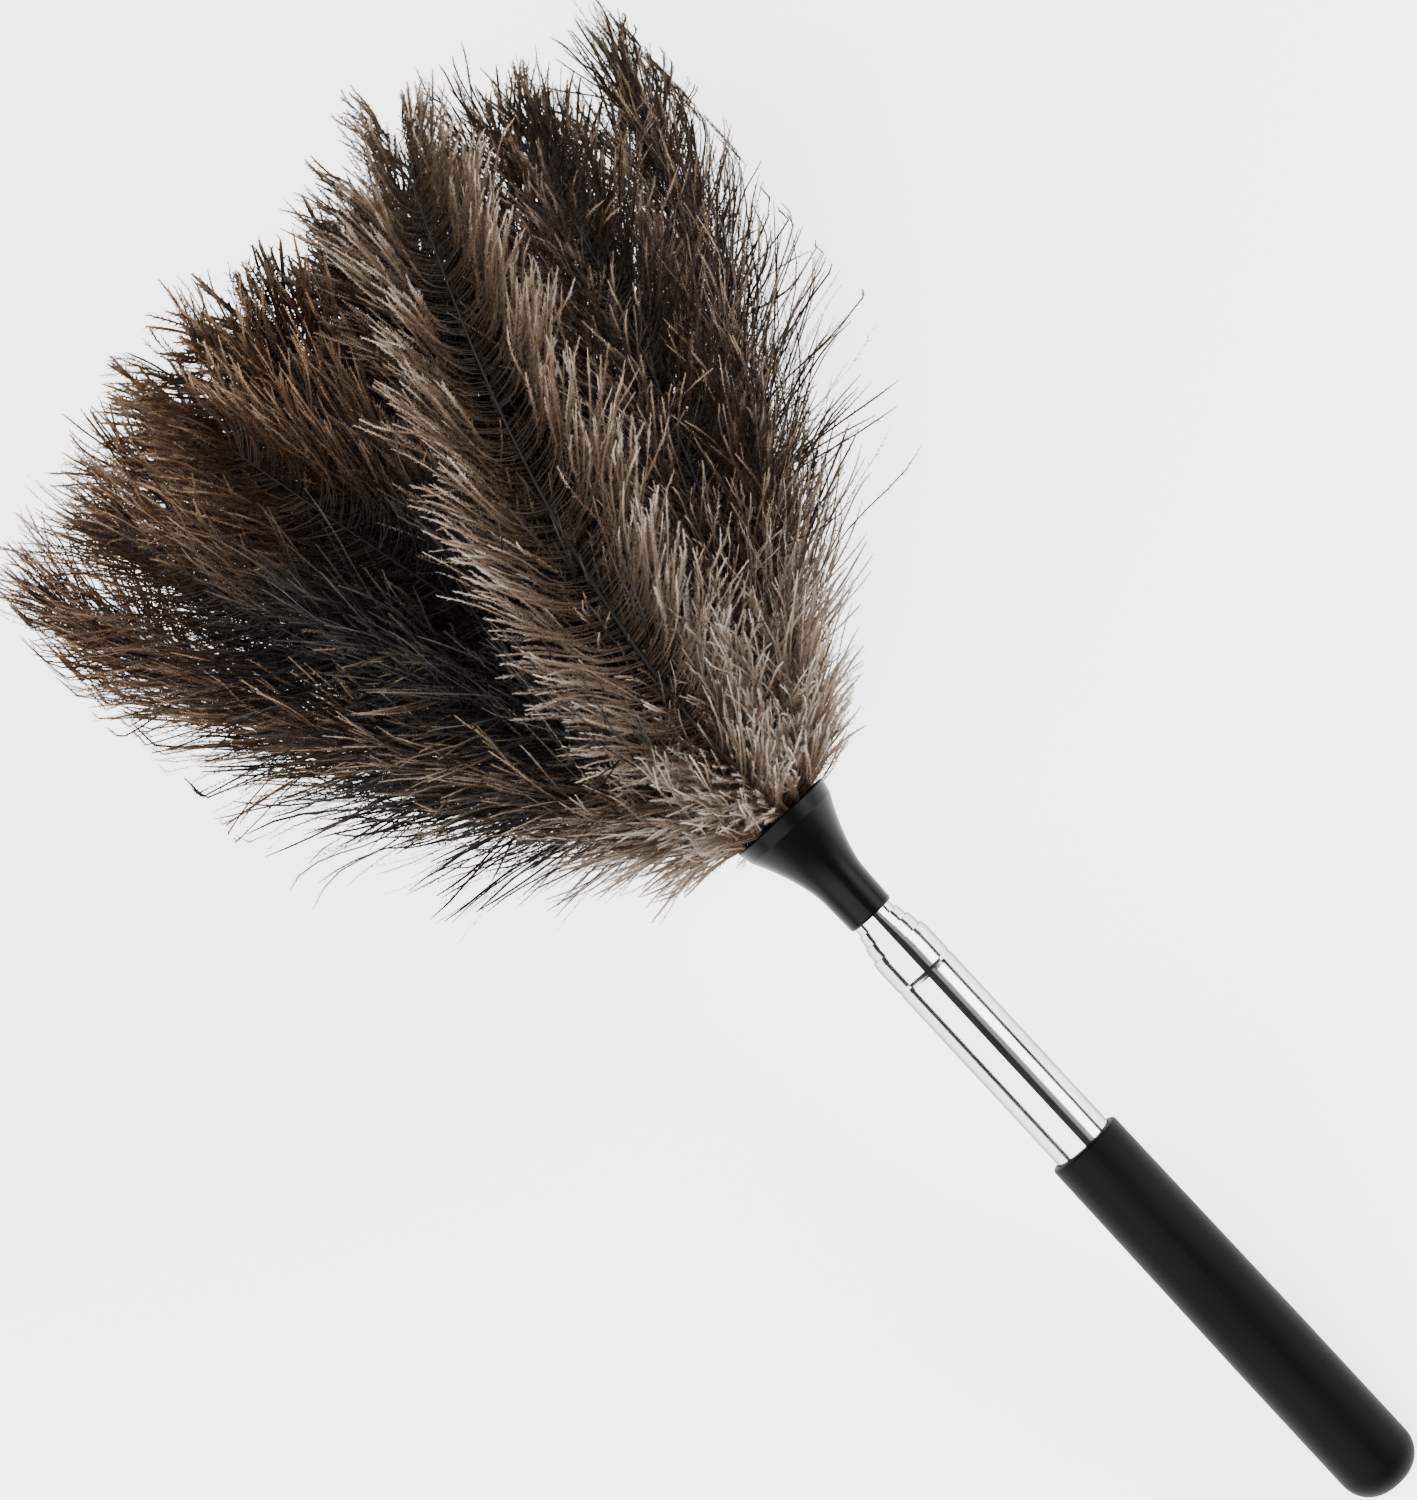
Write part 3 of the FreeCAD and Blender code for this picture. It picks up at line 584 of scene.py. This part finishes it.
def feather_mesh(rng, node, habit, flare):
    """One whole feather: shaft, barb ribbons and barbules in one mesh."""
    line = shaft_curve(node, habit)
    curves, share, side = barb_curves(rng, line, habit, flare)
    curves[..., 2] = np.clip(curves[..., 2], FLOOR_GAP, TOP_LIMIT)
    curves[..., 1] = np.clip(curves[..., 1], -SIDE_LIMIT, SIDE_LIMIT)
    tangent, first, second = across(rng, curves)
    ribbons = barb_ribbons(curves, first, habit.thick)
    slivers, sliver_at = barbule_triangles(rng, curves, tangent, first, second, habit)
    shaft = shaft_tube(line, node)

    row = np.arange(len(curves))[:, None] * BARB_POINTS * 2
    corner = row + np.arange(BARB_POINTS - 1)[None] * 2
    ribbon_quads = np.stack([corner, corner + 1, corner + 3, corner + 2], -1).reshape(-1, 4)
    left, right = barb_map(share, side)
    v = np.linspace(0, 1, BARB_POINTS)
    cells = [(left, v[:-1]), (right, v[:-1]), (right, v[1:]), (left, v[1:])]
    ribbon_map = np.stack([
        np.stack(np.broadcast_arrays(u[:, None], w[None]), -1) for u, w in cells
    ], 2).reshape(-1, 4, 2)

    shaft_quads, fans, shaft_map, fan_map = shaft_faces()
    ribbon_points, sliver_points = ribbons.reshape(-1, 3), slivers.reshape(-1, 3)
    sliver_faces = np.arange(len(sliver_points)).reshape(-1, 3) + len(ribbon_points)
    shaft_start = len(ribbon_points) + len(sliver_points)
    low = np.clip(sliver_at - SLIVER_SPAN, 0, 1)
    high = np.clip(sliver_at + SLIVER_SPAN, 0, 1)
    middle = np.broadcast_to(((left + right) / 2)[:, None], sliver_at.shape)
    sliver_map = np.stack([
        np.stack([np.broadcast_to(left[:, None], low.shape), low], -1),
        np.stack([np.broadcast_to(right[:, None], low.shape), low], -1),
        np.stack([middle, high], -1),
    ], 2).reshape(-1, 3, 2)

    places = np.vstack([ribbon_points, sliver_points, shaft])
    places[:, 2] = np.maximum(places[:, 2], FLOOR_GAP / 2)
    return mesh_of(
        node.replace("feather", "plume"), places,
        np.vstack([ribbon_quads, shaft_quads + shaft_start]),
        np.vstack([sliver_faces, fans + shaft_start]),
        np.concatenate([ribbon_map, shaft_map]),
        np.concatenate([sliver_map, fan_map]),
        np.repeat([0, 1], [len(ribbon_quads), len(shaft_quads)]),
        np.repeat([0, 1], [len(sliver_faces), len(fans)]),
    )


BARB_STOPS = (0.12, 0.5, 0.86, 1.0)   # where a barb has its four colours, root to tip
STREAK_COUNT = 240.0                  # streaks across the barbs of both sides
PATCH_SCALE = 9.0
BARBULE_BEATS = (640.0, 397.0)        # two fine ripples along a barb, which mix unevenly
BEAT_SHIFT = 900.0                    # that moves the second one from barb to barb


def down_finish(name, zones):
    """Down whose colour runs along each barb, and by zones along the feather from the mouth.

    A zone is its colours, from the root of a barb to its tip, and the two shares of the
    feather between which it takes over from the zone before it.
    """
    finish = Finish(name, zones[0][0][1], Roughness=0.5, Specular_IOR_Level=0.16)
    place = finish.add("ShaderNodeUVMap", {"uv_map": "OFBake"})
    order = finish.add("ShaderNodeSeparateXYZ", None, {0: place}, output=0)
    at = finish.add("ShaderNodeSeparateXYZ", None, {0: place}, output=1)
    feather_share = ((order - SHAFT_STRIP) / ((1 - SHAFT_STRIP) / 2)).math("FRACT")
    line = {"W": order, "Scale": STREAK_COUNT, "Detail": 2.0}
    streaks = finish.add("ShaderNodeTexNoise", {"noise_dimensions": "1D"}, line)
    patches = finish.noise(place, PATCH_SCALE)
    beat = (at * BARBULE_BEATS[0]).math("SINE")
    beat = beat + (at * BARBULE_BEATS[1] + order * BEAT_SHIFT).math("SINE")
    barbules = beat * 0.07
    # place on the colour ramp: dark at a barb's root, partly painted shade, and pale at its tip,
    # partly a painted highlight
    shade = (at + (streaks - 0.5) * 0.45 + (patches - 0.5) * 0.5 + barbules).clamp()
    colour = None
    for colours, start, end in zones:
        stops = {"stops": list(zip(BARB_STOPS, colours))}
        zone = finish.add("ShaderNodeValToRGB", stops, {0: shade})
        if colour is not None:
            zone = finish.blend(feather_share.step(start, end), colour, zone)
        colour = zone
    finish.feed("Base Color", colour)
    return finish.material


horn_finish = Finish("feather horn", (0.012, 0.009, 0.0065), Specular_IOR_Level=0.14)
horn_place = horn_finish.add("ShaderNodeUVMap", {"uv_map": "OFBake"})
horn_at = horn_finish.add("ShaderNodeSeparateXYZ", None, {0: horn_place}, output=1)
horn_grain = horn_finish.noise(horn_place, 220.0)
horn_finish.feed("Base Color", horn_finish.blend(
    (horn_at + (horn_grain - 0.5) * 0.3).step(0.0, 0.3),
    (0.08, 0.06, 0.04, 1.0), (0.008, 0.006, 0.005, 1.0)))
horn_finish.feed("Roughness", 0.35 + horn_grain * 0.2)

# colours from the root of a barb to its tip: the dark roots are partly painted shade,
# and the pale tips partly a painted highlight
PALE = ((0.044, 0.029, 0.0185), (0.150, 0.102, 0.066),
        (0.245, 0.184, 0.134), (0.50, 0.445, 0.38))
TAN = ((0.014, 0.0085, 0.0046), (0.062, 0.039, 0.022),
       (0.135, 0.089, 0.056), (0.48, 0.40, 0.32))
BROWN = ((0.0065, 0.0035, 0.0017), (0.0165, 0.0092, 0.0045),
         (0.034, 0.0195, 0.0102), (0.25, 0.185, 0.128))
DUSK = ((0.007, 0.0042, 0.0024), (0.023, 0.014, 0.0082),
        (0.056, 0.036, 0.022), (0.27, 0.205, 0.145))
# near-black down for the feathers on the left of the pole: painted shade
SHADE_BLACK = ((0.0022, 0.0017, 0.0013), (0.0050, 0.0037, 0.0028),
        (0.0105, 0.0076, 0.0056), (0.052, 0.038, 0.028))
WARM = ((0.009, 0.0044, 0.002), (0.034, 0.0165, 0.0072),
        (0.088, 0.046, 0.0215), (0.31, 0.205, 0.125))
# each down's colours from the mouth to the tip of a feather, and where each takes over
down = {name: down_finish(f"{name} down", zones) for name, zones in {
    "taupe": ((PALE, 0, 0), (TAN, 0.2, 0.5)),
    "bistre": ((PALE, 0, 0), (BROWN, 0.12, 0.28)),
    "sepia": ((PALE, 0, 0), (DUSK, 0.03, 0.12), (WARM, 0.3, 0.6)),
    "umber": ((PALE, 0, 0), (SHADE_BLACK, 0.06, 0.17), (WARM, 0.6, 0.9)),
}.items()}

# The rings' own habits. Down, sway and lift are set feather by feather.
RING_HABIT = {
    "core": Habit("", 110, 26, 3.0, 0.046, 1.0, 0.86, 0.0, 0.0, 0.0),
    "inner": Habit("", 140, 30, 2.6, 0.050, 1.0, 0.88, 0.0, 0.0, 0.0),
    "middle": Habit("", 200, 52, 1.5, 0.052, 1.0, 0.91, 0.0, 0.0, 0.0),
    "outer": Habit("", 240, 54, 1.25, 0.056, 1.0, 0.98, 0.0, 0.0, 0.0),
}
# the feathers that show most
FEATHER_HABIT = {
    "feather_outer_12": Habit("taupe", 296, 184, 1.1, 0.041, 0.4, 1.10, -0.078, 0.098, 0.010),
    "feather_outer_11": Habit("bistre", 270, 150, 1.1, 0.046, 1.0, 1.00, 0.0, -0.006, -0.003),
    "feather_outer_10": Habit("bistre", 270, 140, 1.15, 0.058, 1.0, 1.00, 0.0, 0.0, 0.002),
    "feather_outer_01": Habit("umber", 280, 96, 1.15, 0.054, 0.5, 0.95, -0.010, -0.010, -0.014),
    "feather_outer_02": Habit("umber", 290, 100, 1.15, 0.058, 0.9, 0.98, 0.0, -0.004, -0.004),
    "feather_outer_03": Habit("sepia", 280, 120, 1.15, 0.058, 1.0, 1.00, 0.0, 0.0, 0.003),
    "feather_middle_01": Habit("sepia", 220, 80, 1.4, 0.052, 1.0, 0.94, 0.0, -0.008, 0.004),
    "feather_middle_10": Habit("bistre", 220, 80, 1.4, 0.050, 1.0, 0.94, 0.0, 0.010, 0.0),
}
FIRST_SEED = 100
# below the pole, where the down is pressed: shares of the ring's tufts, barbules and thickness
UNDERSIDE = (0.85, 0.8, 1.35)


def feather_habit(rng, node, ring, left):
    """A feather's habit: its own if it has one, or else its ring's with chance differences.

    Left is how far it stands to the left of the pole, from -1 to 1. The farther left, the
    likelier it is umber or sepia, whose darker downs are painted shade on that side of the
    plume. All of them take the same number of random draws.
    """
    painted_shade_side = left + rng.normal(0, 0.16)
    sway, lift, reach = rng.normal(0, 0.007), rng.normal(0, 0.004), rng.normal(0, 0.015)
    if node in FEATHER_HABIT:
        return FEATHER_HABIT[node]
    habit = RING_HABIT[ring]
    # darker downs the farther left: painted shade on that side of the plume
    colour = "umber" if painted_shade_side > 0.6 else "sepia" if painted_shade_side > 0.42 else "bistre"
    habit = habit._replace(down=colour, sway=sway, lift=lift, reach=habit.reach + reach)
    if (points_of(node).mean(0) - pole_point) @ pole_up < 0:
        tufts, barbules, thick = UNDERSIDE
        habit = habit._replace(
            tufts=int(habit.tufts * tufts), barbules=int(habit.barbules * barbules),
            thick=habit.thick * thick)
    return habit


for index, node in enumerate(sorted(n for n in frame["nodes"] if n.startswith("feather"))):
    rng = np.random.default_rng(FIRST_SEED + index)
    ring = node.split("_")[1]
    centre = points_of(node).mean(0) - pole_point
    left = centre @ pole_side / np.linalg.norm(centre - (centre @ pole_axis) * pole_axis)
    habit = feather_habit(rng, node, ring, left)
    mesh = feather_mesh(rng, node, habit, 1 + 0.1 * left)
    mesh.materials.append(down[habit.down])
    mesh.materials.append(horn_finish.material)
    plume = bpy.data.objects.new(mesh.name, mesh)
    bpy.context.scene.collection.objects.link(plume)
    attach(plume, "head")
    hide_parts(node)


# ---- stage -----------------------------------------------------------------------------
# A plain pale floor under three soft studio boxes, and a camera that looks square at the
# pole from above. It is rolled, so that the pole runs from corner to corner of the frame.
FLOOR_SIZE = 12.0
CAMERA_DISTANCE = 1.3
CAMERA_SENSOR_MM = 36.0
FAR_CLIP = 20.0
FRAME_HEIGHT = 0.4935                 # what the frame's height spans at the pole
POLE_ACROSS = np.array([-0.6796, 0.7336])     # the pole's way across the frame, right and up
AIM_ALONG = 0.3304                    # the frame's centre, from the butt along the pole
AIM_ASIDE = 0.0025
# degrees off the camera, distance, size along and across the pole, and watts
UP_BOX = (35.4, 1.9, (2.1, 2.65), 108.0)
BETWEEN_BOX = (-32.0, 1.8, (2.1, 0.45), 1.3)
SIDE_BOX = (-57.8, 1.7, (1.6, 1.0), 46.0)
BOX_BACK = 0.2                        # how far the boxes stand towards the butt
WORLD_GLOW = 0.04

floor_mesh = bpy.data.meshes.new("floor")
edge = FLOOR_SIZE / 2
corners = [(-edge, -edge, 0), (edge, -edge, 0), (edge, edge, 0), (-edge, edge, 0)]
floor_mesh.from_pydata(corners, [], [(0, 1, 2, 3)])
floor = bpy.data.objects.new("floor", floor_mesh)
bpy.context.scene.collection.objects.link(floor)
floor_finish = Finish("pale floor", (0.92, 0.92, 0.92), Roughness=0.8, Specular_IOR_Level=0.1,
                      Emission_Color=(1, 1, 1, 1), Emission_Strength=2.7)
floor_mesh.materials.append(floor_finish.material)

to_camera = pole_up
aside = -np.cross(to_camera, pole_axis)
right = POLE_ACROSS[0] * pole_axis + POLE_ACROSS[1] * aside
up = POLE_ACROSS[1] * pole_axis - POLE_ACROSS[0] * aside
aim = pole_point + (butt + AIM_ALONG) * pole_axis - AIM_ASIDE * aside


def placed(thing, place, axes):
    """Links a camera or lamp at a place, with its own X, Y and Z along these axes."""
    holder = bpy.data.objects.new(thing.name, thing)
    bpy.context.scene.collection.objects.link(holder)
    matrix = np.eye(4)
    matrix[:3, :3] = np.array(axes).T
    matrix[:3, 3] = place
    holder.matrix_world = Matrix(matrix.tolist())
    return holder


camera_data = bpy.data.cameras.new("camera")
camera_data.sensor_width = CAMERA_SENSOR_MM
camera_data.lens = CAMERA_SENSOR_MM * CAMERA_DISTANCE / FRAME_HEIGHT
camera_data.clip_end = FAR_CLIP
camera = placed(camera_data, aim + CAMERA_DISTANCE * to_camera, (right, up, to_camera))
bpy.context.scene.camera = camera


def softbox(name, degrees, distance, size, watts):
    """A large even lamp beside the pole, this far round it from the camera."""
    data = bpy.data.lights.new(name, "AREA")
    data.shape = "RECTANGLE"
    data.size, data.size_y = size
    data.energy = watts
    turn = math.radians(degrees)
    towards = math.cos(turn) * to_camera - math.sin(turn) * aside
    place = aim + distance * towards - BOX_BACK * pole_axis
    lamp = placed(data, place, (pole_axis, np.cross(towards, pole_axis), towards))
    lamp.visible_camera = False


softbox("up box", *UP_BOX)
softbox("between box", *BETWEEN_BOX)
softbox("side box", *SIDE_BOX)
world = bpy.data.worlds.new("studio")
bpy.context.scene.world = world
world.use_nodes = True
world.node_tree.nodes["Background"].inputs["Color"].default_value = (1, 1, 1, 1)
world.node_tree.nodes["Background"].inputs["Strength"].default_value = WORLD_GLOW
